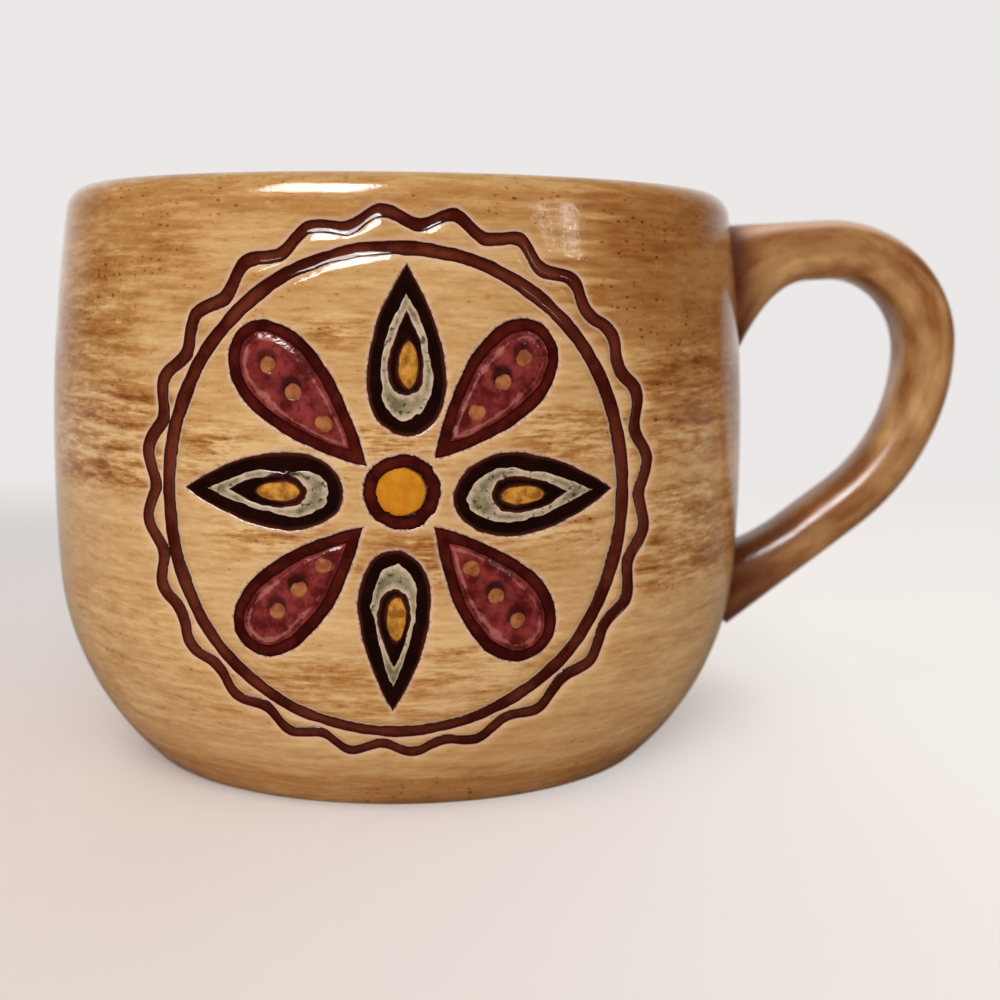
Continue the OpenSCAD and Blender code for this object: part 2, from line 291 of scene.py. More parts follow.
@dataclass(frozen=True)
class SmearGlaze:
    """Transparent tan glaze, brushed on in bands over pale earthenware and fired glossy."""

    brushing: Brushing
    # Each layer of marks: length along the brush, width across it, roughness and share of the thickness.
    layers: tuple[tuple[float, float, float, float], ...] = (
        (34, 9, 0.5, 1.0), (10, 1.2, 0.6, 1.9), (2.5, 0.5, 0.6, 1.4), (0.6, 0.4, 0.6, 0.4))
    grit_share: float = 0.55
    cream: str = "#D8B37E"
    tan: str = "#BA8951"
    brown: str = "#955B28"
    dark: str = "#5E351B"
    # Pale where the glaze ran thin off the lips of cuts, and a painted highlight along the handle's top
    # edge.
    pale_lip_and_highlight: str = "#E2BCA2"
    pooled: str = "#5A2612"
    roughness: float = 0.1
    ior: float = 1.5
    uneven_gloss: float = 0.06
    relief_mm: float = 0.06
    # Length and width of the dark dashes, and of the patches that they lie in.
    dash_mm: tuple[float, float] = (1.0, 0.6)
    patch_mm: tuple[float, float] = (11.0, 3.5)

    def make(self) -> Material:
        """Build the material.

        The glaze is cream where it is thin and brown where the brush left it thick, in streaks along the
        brush and in short dashes where it caught on the clay. The lips of cuts are pale because the glaze
        runs off them, and the same pale mark paints a highlight along the handle's top edge. The glaze is
        darkest where it pooled.

        Returns:
            The material.
        """
        material, tree = new_finish("smear_glaze_" + self.brushing.name.lower())
        wash, drag, lip, pool = (add_node(tree, "Attribute", attribute_name=name).outputs["Fac"]
                                 for name in ("wash", "drag", "lip", "pool"))
        if self.brushing is Brushing.ROUND:
            grain, across = add_node(tree, "TexCoord").outputs["Object"], (0, 0, 1)
        else:
            run = [add_node(tree, "Attribute", attribute_name=name).outputs["Fac"]
                   for name in ("along", "side", "over")]
            grain, across = add_node(tree, "CombineXYZ", dict(enumerate(run))).outputs[0], (0, 1, 1)
        spreads = []
        for length, width in [layer[:2] for layer in self.layers] + [self.dash_mm, self.patch_mm]:
            scale = tuple(PER_MM / (width if a else length) for a in across)
            spreads.append(add_node(tree, "VectorMath", {0: grain, 1: scale},
                                    operation="MULTIPLY").outputs[0])
        thick = add_node(tree, "Math", {0: wash, 1: 0.55, 2: 0.2}, operation="MULTIPLY_ADD").outputs[0]
        for spread, (_, _, rough, share) in zip(spreads, self.layers):
            marks = add_node(tree, "TexNoise",
                             {"Vector": spread, "Scale": 1.0, "Detail": 3.0, "Roughness": rough}).outputs[0]
            even = add_node(tree, "Math", {0: marks, 1: -0.5}, operation="ADD").outputs[0]
            even = add_node(tree, "Math", {0: even, 1: drag}, operation="MULTIPLY").outputs[0]
            thick = add_node(tree, "Math", {0: even, 1: share, 2: thick},
                             operation="MULTIPLY_ADD").outputs[0]
        # Dark dashes of many sizes, in patches, where the glaze is thick enough to catch on the clay.
        cell = add_node(tree, "TexVoronoi", {"Vector": spreads[-2], "Scale": 1.0})
        size = add_node(tree, "SeparateXYZ", {0: cell.outputs["Color"]}).outputs["X"]
        off = add_node(tree, "Math", {0: size, 1: 0.35, 2: cell.outputs["Distance"]},
                       operation="MULTIPLY_ADD").outputs[0]
        patch = add_node(tree, "TexNoise",
                         {"Vector": spreads[-1], "Scale": 1.0, "Detail": 2.0}).outputs[0]
        dash = self.grit_share
        for amount, start, full in ((off, 0.38, 0.18), (patch, 0.42, 0.54), (thick, 0.12, 0.5)):
            share = add_node(tree, "MapRange", {0: amount, 1: start, 2: full}).outputs[0]
            dash = add_node(tree, "Math", {0: dash, 1: share}, operation="MULTIPLY").outputs[0]
        thick = add_node(tree, "Math", {0: dash, 1: thick}, operation="ADD").outputs[0]
        steps = [(add_node(tree, "MapRange", {0: thick, 1: start, 2: full}).outputs[0], shade)
                 for start, full, shade in ((0.0, 0.42, self.tan), (0.38, 0.85, self.brown),
                                            (0.85, 1.3, self.dark))]
        colour = linear(self.cream)
        for share, shade in steps + [(lip, self.pale_lip_and_highlight), (pool, self.pooled)]:
            colour = add_node(tree, "Mix", {0: share, 6: colour, 7: linear(shade)},
                              data_type="RGBA").outputs[2]
        bump = add_node(tree, "Bump",
                        {"Strength": 0.35, "Distance": self.relief_mm * MM, "Height": marks}).outputs[0]
        gloss = add_node(tree, "MapRange",
                         {0: marks, 1: 0.3, 2: 0.7, 3: self.roughness - self.uneven_gloss,
                          4: self.roughness + self.uneven_gloss}).outputs[0]
        shader = add_node(tree, "BsdfPrincipled",
                          {"Base Color": colour, "Roughness": gloss, "IOR": self.ior, "Normal": bump})
        add_node(tree, "OutputMaterial", {"Surface": shader.outputs[0]})
        return material


@dataclass(frozen=True)
class PooledGlaze:
    """Coloured glaze run into a cut, deep in the middle and thin at its edges."""

    name: str
    deep: str
    body: str
    thin: str
    cloud_mm: float
    edge_mm: float
    speck: str
    speck_share: float = 0.0
    relief_mm: float = 0.1
    roughness: float = 0.1
    ior: float = 1.52
    ragged_mm: float = 0.3
    grit_mm: float = 0.7
    # Dark glaze run over from a neighbour, also used as the painted shadow above a red petal's dots.
    overrun_and_dot_shadow: str = "#2A0A08"

    def make(self) -> Material:
        """Build the material.

        The colour gathers in clouds as the glaze flowed and breaks to its thin colour along the edges.
        Specks lie in it; darker glaze has run over it from a neighbour, and a painted shadow lies over a red
        petal's dots.

        Returns:
            The material.
        """
        material, tree = new_finish(self.name)
        place = add_node(tree, "TexCoord").outputs["Object"]
        inward, rim = (add_node(tree, "Attribute", attribute_name=name).outputs["Fac"]
                       for name in ("inward", "rim"))
        cloud, grit = (add_node(tree, "TexNoise", {"Vector": place, "Scale": PER_MM / size, "Detail": detail,
                                                   "Roughness": rough}).outputs[0]
                       for size, detail, rough in ((self.cloud_mm, 4.0, 0.6), (self.grit_mm, 2.0, 0.55)))
        waver = add_node(tree, "Math", {0: cloud, 1: self.ragged_mm, 2: inward},
                         operation="MULTIPLY_ADD").outputs[0]
        ragged = self.ragged_mm / 2
        depth, edge, fleck = (
            add_node(tree, "MapRange", {0: amount, 1: start, 2: full, 4: most}).outputs[0]
            for amount, start, full, most in (
                (cloud, 0.4, 0.6, 1.0),
                (waver, ragged + 0.8 * self.edge_mm, ragged - 0.1 * self.edge_mm, 1.0),
                (grit, 0.6, 0.68, self.speck_share)))
        colour = linear(self.body)
        for share, shade in ((depth, self.deep), (edge, self.thin), (fleck, self.speck),
                             (rim, self.overrun_and_dot_shadow)):
            colour = add_node(tree, "Mix", {0: share, 6: colour, 7: linear(shade)},
                              data_type="RGBA").outputs[2]
        bump = add_node(tree, "Bump",
                        {"Strength": 0.6, "Distance": self.relief_mm * MM, "Height": cloud}).outputs[0]
        shader = add_node(tree, "BsdfPrincipled", {"Base Color": colour, "Roughness": self.roughness,
                                                   "IOR": self.ior, "Normal": bump})
        add_node(tree, "OutputMaterial", {"Surface": shader.outputs[0]})
        return material


@dataclass(frozen=True)
class BareClay:
    """Unglazed fired clay on the foot, wiped clean before firing: matt and finely gritty."""

    light: str = "#D3B08A"
    dark: str = "#AB835A"
    roughness: float = 0.85
    grit_mm: float = 0.6
    relief_mm: float = 0.1

    def make(self) -> Material:
        """Build the material.

        Returns:
            The material.
        """
        material, tree = new_finish("bare_clay")
        place = add_node(tree, "TexCoord").outputs["Object"]
        grit = add_node(tree, "TexNoise",
                        {"Vector": place, "Scale": PER_MM / self.grit_mm, "Detail": 3.0}).outputs[0]
        colour = add_node(tree, "Mix", {0: grit, 6: linear(self.light), 7: linear(self.dark)},
                          data_type="RGBA").outputs[2]
        bump = add_node(tree, "Bump",
                        {"Strength": 0.5, "Distance": self.relief_mm * MM, "Height": grit}).outputs[0]
        shader = add_node(tree, "BsdfPrincipled",
                          {"Base Color": colour, "Roughness": self.roughness, "Normal": bump})
        add_node(tree, "OutputMaterial", {"Surface": shader.outputs[0]})
        return material


@dataclass
class CupWall:
    """Side view of the cup's wall, with the solid model's sizes."""

    height: float = 73.0
    belly_r: float = 45.25
    belly_z: float = 38.5
    barrel_r: float = 220.0
    haunch_z: float = 24.7
    haunch_r: float = 36.0
    wall: float = 4.8
    lip_r: float = 3.4
    floor_t: float = 4.5
    corner_r: float = 8.0
    foot_w: float = 4.5
    foot_hollow: float = 1.6
    foot_edge_r: float = 1.6
    foot_draft: float = 0.9
    rosette_z: float = 38.35

    def __post_init__(self) -> None:
        """Work out the curves' middles, which are tangent to each other."""
        self.haunch_a = math.asin((self.haunch_z - self.belly_z) / self.barrel_r)
        self.barrel_c = np.array([self.belly_r - self.barrel_r, self.belly_z])
        self.haunch_c = self.barrel_c + (self.barrel_r - self.haunch_r) * self.way(self.haunch_a)

    @staticmethod
    def way(angle: float) -> np.ndarray:
        """Point one step away at an angle in radians."""
        return np.array([math.cos(angle), math.sin(angle)])

    def radius(self, z: np.ndarray) -> np.ndarray:
        """Give the wall's outside radius at each height.

        Args:
            z: Heights above the table.
        Returns:
            The radii.
        """
        barrel = self.barrel_c[0] + np.sqrt(np.maximum(self.barrel_r ** 2 - (z - self.belly_z) ** 2, 0))
        haunch = self.haunch_c[0] + np.sqrt(np.maximum(self.haunch_r ** 2 - (z - self.haunch_c[1]) ** 2, 0))
        return np.where(z >= self.haunch_z, barrel, haunch)

    def lay(self, flat: np.ndarray, lift: np.ndarray) -> np.ndarray:
        """Lay points of the flat drawing on the wall.

        Args:
            flat: Points of the drawing, one row each.
            lift: How far each stands out from the wall.
        Returns:
            The points in space, one row each.
        """
        turn, z = flat[:, 0] / self.belly_r, flat[:, 1] + self.rosette_z
        low = z < self.haunch_z
        angle = np.where(low, self.haunch_a - (self.haunch_z - z) / self.haunch_r,
                         np.arcsin(np.clip((z - self.belly_z) / self.barrel_r, -1, 1)))
        reach = np.where(low, self.haunch_r, self.barrel_r) + lift
        r = np.where(low, self.haunch_c[0], self.barrel_c[0]) + reach * np.cos(angle)
        h = np.where(low, self.haunch_c[1], self.barrel_c[1]) + reach * np.sin(angle)
        return np.stack([r * np.sin(turn), -r * np.cos(turn), h], 1)

    def flatten(self, points: np.ndarray) -> np.ndarray:
        """Find where points on the wall lie in the flat drawing.

        Args:
            points: Points in space, one row each.
        Returns:
            Points of the drawing, one row each.
        """
        turn, z = np.arctan2(points[:, 0], -points[:, 1]), points[:, 2]
        angle = np.arcsin(np.clip((z - self.haunch_c[1]) / self.haunch_r, -1, 1))
        low = self.haunch_z - (self.haunch_a - angle) * self.haunch_r
        return np.stack([turn * self.belly_r, np.where(z < self.haunch_z, low, z) - self.rosette_z], 1)

    def arc(self, middle: np.ndarray, r: float, start: float, end: float, steps: int) -> list[np.ndarray]:
        """Give points along an arc, without its first.

        Args:
            middle: The arc's middle.
            r: Its radius.
            start: Where it starts, in radians.
            end: Where it ends, in radians.
            steps: How many points.
        Returns:
            The points.
        """
        return [middle + r * self.way(start + (end - start) * i / steps) for i in range(1, steps + 1)]

    def section(self, fine: float) -> list[np.ndarray]:
        """Give the whole section of the cup, from the middle underneath to the middle of the floor inside.

        Args:
            fine: The spacing of points where the wall is carved.
        Returns:
            Points of radius and height.
        """
        edge_x = self.haunch_c[0] + math.sqrt((self.haunch_r - self.foot_edge_r) ** 2
                                              - (self.foot_edge_r - self.haunch_c[1]) ** 2)
        edge_c = np.array([edge_x, self.foot_edge_r])
        foot_a = math.atan2(edge_c[1] - self.haunch_c[1], edge_c[0] - self.haunch_c[0])
        inside = edge_x - self.foot_w
        # Below this angle the wall isn't carved, and wider steps will do.
        plain_a = self.haunch_a - (self.haunch_z - 7.0) / self.haunch_r * 1.12
        lip_in = self.wall - self.lip_r
        out_a = math.asin((self.height - self.lip_r - self.belly_z) / (self.barrel_r - self.lip_r))
        in_a = math.asin((self.height - lip_in - self.belly_z) / (self.barrel_r - self.wall + lip_in))
        out_c = self.barrel_c + (self.barrel_r - self.lip_r) * self.way(out_a)
        in_c = self.barrel_c + (self.barrel_r - self.wall + lip_in) * self.way(in_a)
        floor_z = self.foot_hollow + self.floor_t
        corner_z = floor_z + self.corner_r
        corner_x = self.haunch_c[0] + math.sqrt((self.haunch_r - self.wall - self.corner_r) ** 2
                                                - (corner_z - self.haunch_c[1]) ** 2)
        corner_a = math.atan2(corner_z - self.haunch_c[1], corner_x - self.haunch_c[0])
        draft = inside - self.foot_draft
        under = [(r, self.foot_hollow) for r in (0, 9, 18, 25, draft - 0.3)]
        under += [(draft, self.foot_hollow - 0.12), (inside - 0.15, 0.25)]
        under += [(r, 0) for r in (inside + 0.15, inside + 0.6, inside + 2, edge_x)]
        haunch = (self.haunch_a - plain_a) * self.haunch_r
        barrel = (out_a - self.haunch_a) * self.barrel_r
        return ([np.array(p, float) for p in under]
                + self.arc(edge_c, self.foot_edge_r, -QUARTER, foot_a, 6)
                + self.arc(self.haunch_c, self.haunch_r, foot_a, plain_a, 9)
                + self.arc(self.haunch_c, self.haunch_r, plain_a, self.haunch_a, round(haunch / fine))
                + self.arc(self.barrel_c, self.barrel_r, self.haunch_a, out_a, round(barrel / fine))
                + self.arc(out_c, self.lip_r, out_a, QUARTER, 12)
                + self.arc(in_c, lip_in, QUARTER, math.pi + in_a, 8)
                + self.arc(self.barrel_c, self.barrel_r - self.wall, in_a, self.haunch_a, 16)
                + self.arc(self.haunch_c, self.haunch_r - self.wall, self.haunch_a, corner_a, 8)
                + self.arc(np.array([corner_x, corner_z]), self.corner_r, corner_a, -QUARTER, 8)
                + [np.array([r, floor_z]) for r in (24.0, 16.0, 8.0, 0.0)])


@dataclass(frozen=True)
class Petal:
    """One petal as it was cut by hand, in the flat drawing."""

    side: str
    round_end: tuple[float, float]
    point: tuple[float, float]
    width: float
    line_w: float
    seed: int
    dots: tuple[float, ...] = ()
    dot_d: float = 2.0
    sharpness: float = 1.0
    overrun_and_dot_shadow: float = 0.0

    def axis(self) -> tuple[np.ndarray, np.ndarray, float]:
        """Give the petal's round end, the way from there to its point, and its length."""
        start, end = np.array(self.round_end), np.array(self.point)
        length = float(np.linalg.norm(end - start))
        return start, (end - start) / length, length

    def outline(self, inset: float, steps: int, stray: float = 0.1) -> np.ndarray:
        """Give the petal's outline, moved in from its edge.

        Args:
            inset: How far in.
            steps: How many points.
            stray: How unevenly it was cut.
        Returns:
            Points of the drawing, from the point of the petal round to it again.
        """
        start, along, length = self.axis()
        across = np.array([-along[1], along[0]])
        back = inset / math.sin(math.atan(self.width / (DROP_PEAK * length)))
        turn, _ = round_turn(steps)
        x = inset + (length - inset - back) * (1 + np.cos(turn)) / 2
        y = np.sin(turn) * np.sin(turn / 2) ** self.sharpness
        y *= (self.width / 2 - inset) / np.abs(y).max()
        line = start + x[:, None] * along + y[:, None] * across
        out = line - self.heart()
        out /= np.linalg.norm(out, axis=1)[:, None]
        wander = tremor(turn, self.seed + int(100 * inset), stray)
        wander += tremor(2 * turn, self.seed + 1, 0.6 * stray)
        if inset:
            wander -= self.overrun_and_dot_shadow * np.exp(-((turn - OVERRUN_AT) / 0.35) ** 2)
        return line + out * wander[:, None]

    def heart(self) -> np.ndarray:
        """Give the middle of the petal's round part."""
        return np.array(self.round_end) * 0.64 + np.array(self.point) * 0.36

    def dot_spots(self) -> tuple[np.ndarray, ...]:
        """Give the middles of the petal's dots."""
        start, along, _ = self.axis()
        return tuple(start + d * along for d in self.dots)

    def core(self) -> "Petal":
        """Give the small petal that sits inside this one."""
        start, along, _ = self.axis()
        first = start + 4.2 * along
        return Petal(self.side, tuple(first), tuple(first + 9.1 * along), width=0.45 * self.width,
                     line_w=0.9, seed=self.seed + 7)

    def kernel(self) -> "Petal":
        """Give the blunt amber drop inside a core."""
        start, along, _ = self.axis()
        first = start + self.line_w * along + (0.22, -0.05)
        return Petal(self.side, tuple(first), tuple(first + 5.0 * along), width=2.05, line_w=0,
                     seed=self.seed + 3, sharpness=0.12)


@dataclass(frozen=True)
class Ring:
    """A cut line that runs round the rosette, in the flat drawing."""

    middle: tuple[float, float]
    r: float
    line_w: float
    seed: int
    skew: float = 0.0
    scallops: int = 0
    rise: float = 0.0
    turn: float = 0.0
    drift: float = 0.0
    swell: float = 0.0

    def edge(self, out: float, steps: int) -> np.ndarray:
        """Give one edge of the line.

        Args:
            out: 1 for the outer edge, -1 for the inner.
            steps: How many points.
        Returns:
            Points of the drawing.
        """
        turn, way = round_turn(steps)
        r = self.r + self.skew * np.sin(2 * turn) + tremor(turn, self.seed, 0.1)
        r += out / 2 * (self.line_w + self.swell * np.cos(2 * turn))
        r += tremor(turn * 5, self.seed + 3 + int(out), 0.07)
        r += tremor(turn * 16, self.seed + 6 + int(out), 0.035)
        if self.scallops:
            # The hand kept an uneven pace, so the scallops run ahead and fall back twice on the way round.
            pace = turn - self.turn - self.drift * np.cos(2 * (turn - math.radians(170)))
            swing = np.cos(pace * self.scallops) / 2
            r += swing * (self.rise + tremor(turn * 2, self.seed + 9, 0.2))
        return np.array(self.middle) + r[:, None] * way


@dataclass
class GlazeFills:
    """The glaze fills of the rosette, each laid in its cut on the wall."""

    wall: CupWall
    glazes: dict[str, Material]
    thickness: float = 0.3
    line_sink: float = 0.22
    border: Ring = Ring((-0.3, -0.37), 30.2, 1.64, 31, skew=0.2, scallops=24, rise=1.4,
                        turn=math.radians(5.0), drift=math.radians(1.6), swell=0.2)
    ring: Ring = Ring((-0.55, -0.65), 27.2, 1.62, 47, swell=0.2)
    centre: Ring = Ring((0.05, 0.4), 3.42, 1.4, 5)
    greys: list[Petal] = field(default_factory=lambda: [
        Petal("top", (0.5, 6.5), (0.5, 24.75), 8.75, 1.6, 110),
        Petal("right", (5.65, -0.2), (24.9, 0.15), 9.05, 1.6, 120),
        Petal("bottom", (-0.6, -5.95), (-1.0, -24.75), 8.0, 1.6, 130),
        Petal("left", (-6.2, 0.35), (-25.25, 0.15), 8.35, 1.6, 140, overrun_and_dot_shadow=0.5)])
    reds: list[Petal] = field(default_factory=lambda: [
        Petal("upper_right", (16.5, 17.9), (3.6, 4.05), 9.3, 1.3, 210, (4.3, 7.8, 12.2)),
        Petal("lower_right", (16.5, -17.85), (3.6, -3.45), 9.9, 1.3, 220, (5.05, 8.9, 13.2)),
        Petal("lower_left", (-18.25, -17.35), (-4.15, -3.35), 8.9, 1.3, 230, (6.2, 9.75, 13.7)),
        Petal("upper_left", (-18.5, 17.4), (-3.75, 3.25), 9.6, 1.3, 240, (5.15, 9.2, 14.0))])

    def pockets(self) -> list[tuple[np.ndarray, np.ndarray | None, float]]:
        """Give the outlines of every cut.

        Returns:
            For each cut its outer edge, its inner edge or None, and how far its lips are rounded down.
        """
        cuts = [(line.edge(1, steps), line.edge(-1, steps), 0.34)
                for line, steps in ((self.border, 720), (self.ring, 480))]
        cuts.append((self.centre.edge(1, 96), None, 0.15))
        return cuts + [(petal.outline(0, 160), None, 0.15) for petal in self.greys + self.reds]

    def strip(self, name: str, outer: np.ndarray, inner: np.ndarray, edge_lift: tuple[float, float],
              crown: float, rows: int, one_sided: bool = False, overrun_and_dot_shadow: float = 0.0) -> Object:
        """Make a closed strip of glaze between two lines.

        Args:
            name: The piece's name.
            outer: Its outer line.
            inner: Its inner line, with as many points.
            edge_lift: The height of its outer and inner edges over the wall.
            crown: How far its middle stands over its edges, below zero for a hollow.
            rows: Quads across it.
            one_sided: Whether the glaze breaks only at its outer edge.
            overrun_and_dot_shadow: How far dark glaze ran over its upper side.
        Returns:
            The piece, before its thickness.
        """
        count = len(outer)
        piece, column, row = Workbench.grid(name, count, rows)
        across = (1 - np.cos(math.pi * row / rows)) / 2
        column = column % count
        flat = outer[column] * (1 - across)[:, None] + inner[column] * across[:, None]
        lift = edge_lift[0] * (1 - across) + edge_lift[1] * across
        lift = lift + crown * (1 - np.abs(2 * across - 1) ** 2.2)
        width = np.linalg.norm(outer - inner, axis=1)[column]
        Workbench.place(piece, self.wall.lay(flat, lift))
        Workbench.mark(piece, "inward", (across if one_sided else np.minimum(across, 1 - across)) * width)
        if overrun_and_dot_shadow:
            turn = 2 * math.pi * column / count
            Workbench.mark(piece, "rim", np.exp(-((turn - OVERRUN_AT) / 0.3) ** 4))
        return piece

    def cushion(self, name: str, edge: np.ndarray, heart: np.ndarray, edge_lift: float, crown: float,
                rows: int, dots: tuple[np.ndarray, ...] = (), dot_d: float = 0.0) -> Object:
        """Make a closed field of glaze inside one line.

        Args:
            name: The piece's name.
            edge: The line round it.
            heart: The point that its rows close on.
            edge_lift: The height of its edge over the wall.
            crown: How far its middle stands over its edge.
            rows: Quads from the edge to the heart.
            dots: The middles of dots that are pressed into it.
            dot_d: Their diameter.
        Returns:
            The piece, before its thickness.
        """
        count = len(edge)
        piece, column, row = Workbench.grid(name, count, rows)
        share = (row / rows) ** 1.15
        column = column % count
        flat = edge[column] * (1 - share)[:, None] + heart[None] * share[:, None]
        radii = np.linalg.norm(edge - heart, axis=1)
        inward = share * radii[column]
        lift = edge_lift + crown * smooth(inward / 1.1)
        if dots:
            # The glaze thins along a line just inside the edge, most on the lower left.
            inward = np.abs(inward - 0.75) + 0.3 * (flat - heart) @ (0.7, 0.7) / radii.max()
        rim = np.zeros(len(flat))
        for spot, strength in zip(dots, DOT_SHADES):
            off = np.linalg.norm(flat - spot, axis=1) - dot_d / 2
            lift = lift - 0.25 * smooth((-0.1 - off) / 0.3)
            # A painted shadow lies above the dot, which sits in a shallow pit.
            shade = np.linalg.norm(flat - spot - (-0.15, 0.6), axis=1) - dot_d / 2
            rim = np.maximum(rim, strength * smooth((0.5 - shade) / 0.6))
        Workbench.place(piece, self.wall.lay(flat, lift))
        Workbench.mark(piece, "inward", inward)
        if dots:
            Workbench.mark(piece, "rim", rim)
        return piece

    def finish(self, piece: Object, node: str, slot: str, glaze: str) -> None:
        """Give a strip or field its thickness and hand it over.

        Args:
            piece: The strip or field.
            node: The solid that it replaces.
            slot: The record's material slot.
            glaze: The name of its glaze.
        """
        Workbench.weld(piece, outward=False)
        face = max(piece.data.polygons, key=lambda p: p.area)
        if face.normal.dot(Vector((face.center.x, face.center.y, 0))) < 0:
            piece.data.flip_normals()
        Workbench.modify(piece, "SOLIDIFY", thickness=self.thickness * MM, offset=-1.0, use_rim=True)
        Workbench.soften(piece, 50)
        Workbench.hand_over(piece, node, slot, self.glazes[glaze])

    def build_lines(self) -> None:
        """Fill the border, the ring and the middle."""
        for node, ring, steps, edges, sink, glaze in (
                ("border_line", self.border, 720, (-0.3, -0.3), self.line_sink, "russet_line_glaze"),
                ("ring_line", self.ring, 420, (-0.3, -0.3), self.line_sink, "russet_line_glaze"),
                ("centre_line", self.centre, 96, (-0.12, -0.2), 0.06, "maroon_line_glaze")):
            piece = self.strip(node + "_fill", ring.edge(1, steps), ring.edge(-1, steps), edges, -sink, 8)
            self.finish(piece, node, "line_glaze", glaze)
        turn, way = round_turn(72)
        heart = np.array([-0.1, 0.45])
        disc = (2.7 + tremor(turn, 71, 0.08))[:, None] * way + heart
        piece = self.cushion("centre_disc_fill", disc, heart, -0.24, 0.2, 12)
        self.finish(piece, "centre_disc", "amber_glaze", "amber_glaze")

    def build_grey(self, petal: Petal) -> None:
        """Fill one grey petal: its line, its field, its core's line and its core.

        Args:
            petal: The petal.
        """
        steps, side, core = 128, petal.side, petal.core()
        kernel = core.kernel()
        edge, field_edge = petal.outline(0, steps), petal.outline(petal.line_w, steps, 0.2)
        core_edge, amber_edge = core.outline(0, steps, 0.12), kernel.outline(0, steps, 0.06)
        black = "brown_black_line_glaze"
        for node, slot, glaze, outer, inner, lifts, crown, rows in (
                ("grey_line_", "dark_glaze", black, edge, field_edge, (-0.12, -0.16), -0.05, 8),
                ("grey_petal_", "grey_glaze", "speckled_grey_glaze", field_edge, core_edge, (-0.16, -0.16),
                 0.07, 14),
                ("core_line_", "dark_glaze", black, core_edge, amber_edge, (-0.16, -0.18), -0.05, 8)):
            piece = self.strip(node + side + "_fill", outer, inner, lifts, crown, rows,
                               one_sided=outer is edge,
                               overrun_and_dot_shadow=petal.overrun_and_dot_shadow if inner is core_edge else 0.0)
            self.finish(piece, node + side, slot, glaze)
        piece = self.cushion("amber_core_%s_fill" % side, amber_edge, kernel.heart(), -0.18, 0.1, 10)
        self.finish(piece, "amber_core_" + side, "amber_glaze", "brown_amber_glaze")

    def build_red(self, petal: Petal) -> None:
        """Fill one red petal: its line, its field and its dots.

        Args:
            petal: The petal.
        """
        steps, side = 144, petal.side
        edge, field_edge = petal.outline(0, steps), petal.outline(petal.line_w, steps)
        piece = self.strip("red_line_%s_fill" % side, edge, field_edge, (-0.12, -0.24), -0.05, 8)
        self.finish(piece, "red_line_" + side, "line_glaze", "maroon_line_glaze")
        piece = self.cushion("red_petal_%s_fill" % side, field_edge, petal.heart(), -0.26, 0.22, 30,
                             petal.dot_spots(), petal.dot_d)
        self.finish(piece, "red_petal_" + side, "red_glaze", "oxblood_glaze")
        turn, way = round_turn(36)
        beads = []
        for k, spot in enumerate(petal.dot_spots()):
            r = petal.dot_d / 2 + 0.15 * np.sin(2 * turn + k) + 0.1 * np.sin(3 * turn + 2 * k + petal.seed)
            beads.append(self.cushion("amber_dot_%d" % k, spot + r[:, None] * way, spot, -0.05, 0.03, 7))
        Workbench.pick(*beads)
        bpy.ops.object.join()
        beads[0].name = beads[0].data.name = "amber_dots_%s_fill" % side
        self.finish(beads[0], "amber_dots_" + side, "amber_glaze", "dull_ochre_glaze")


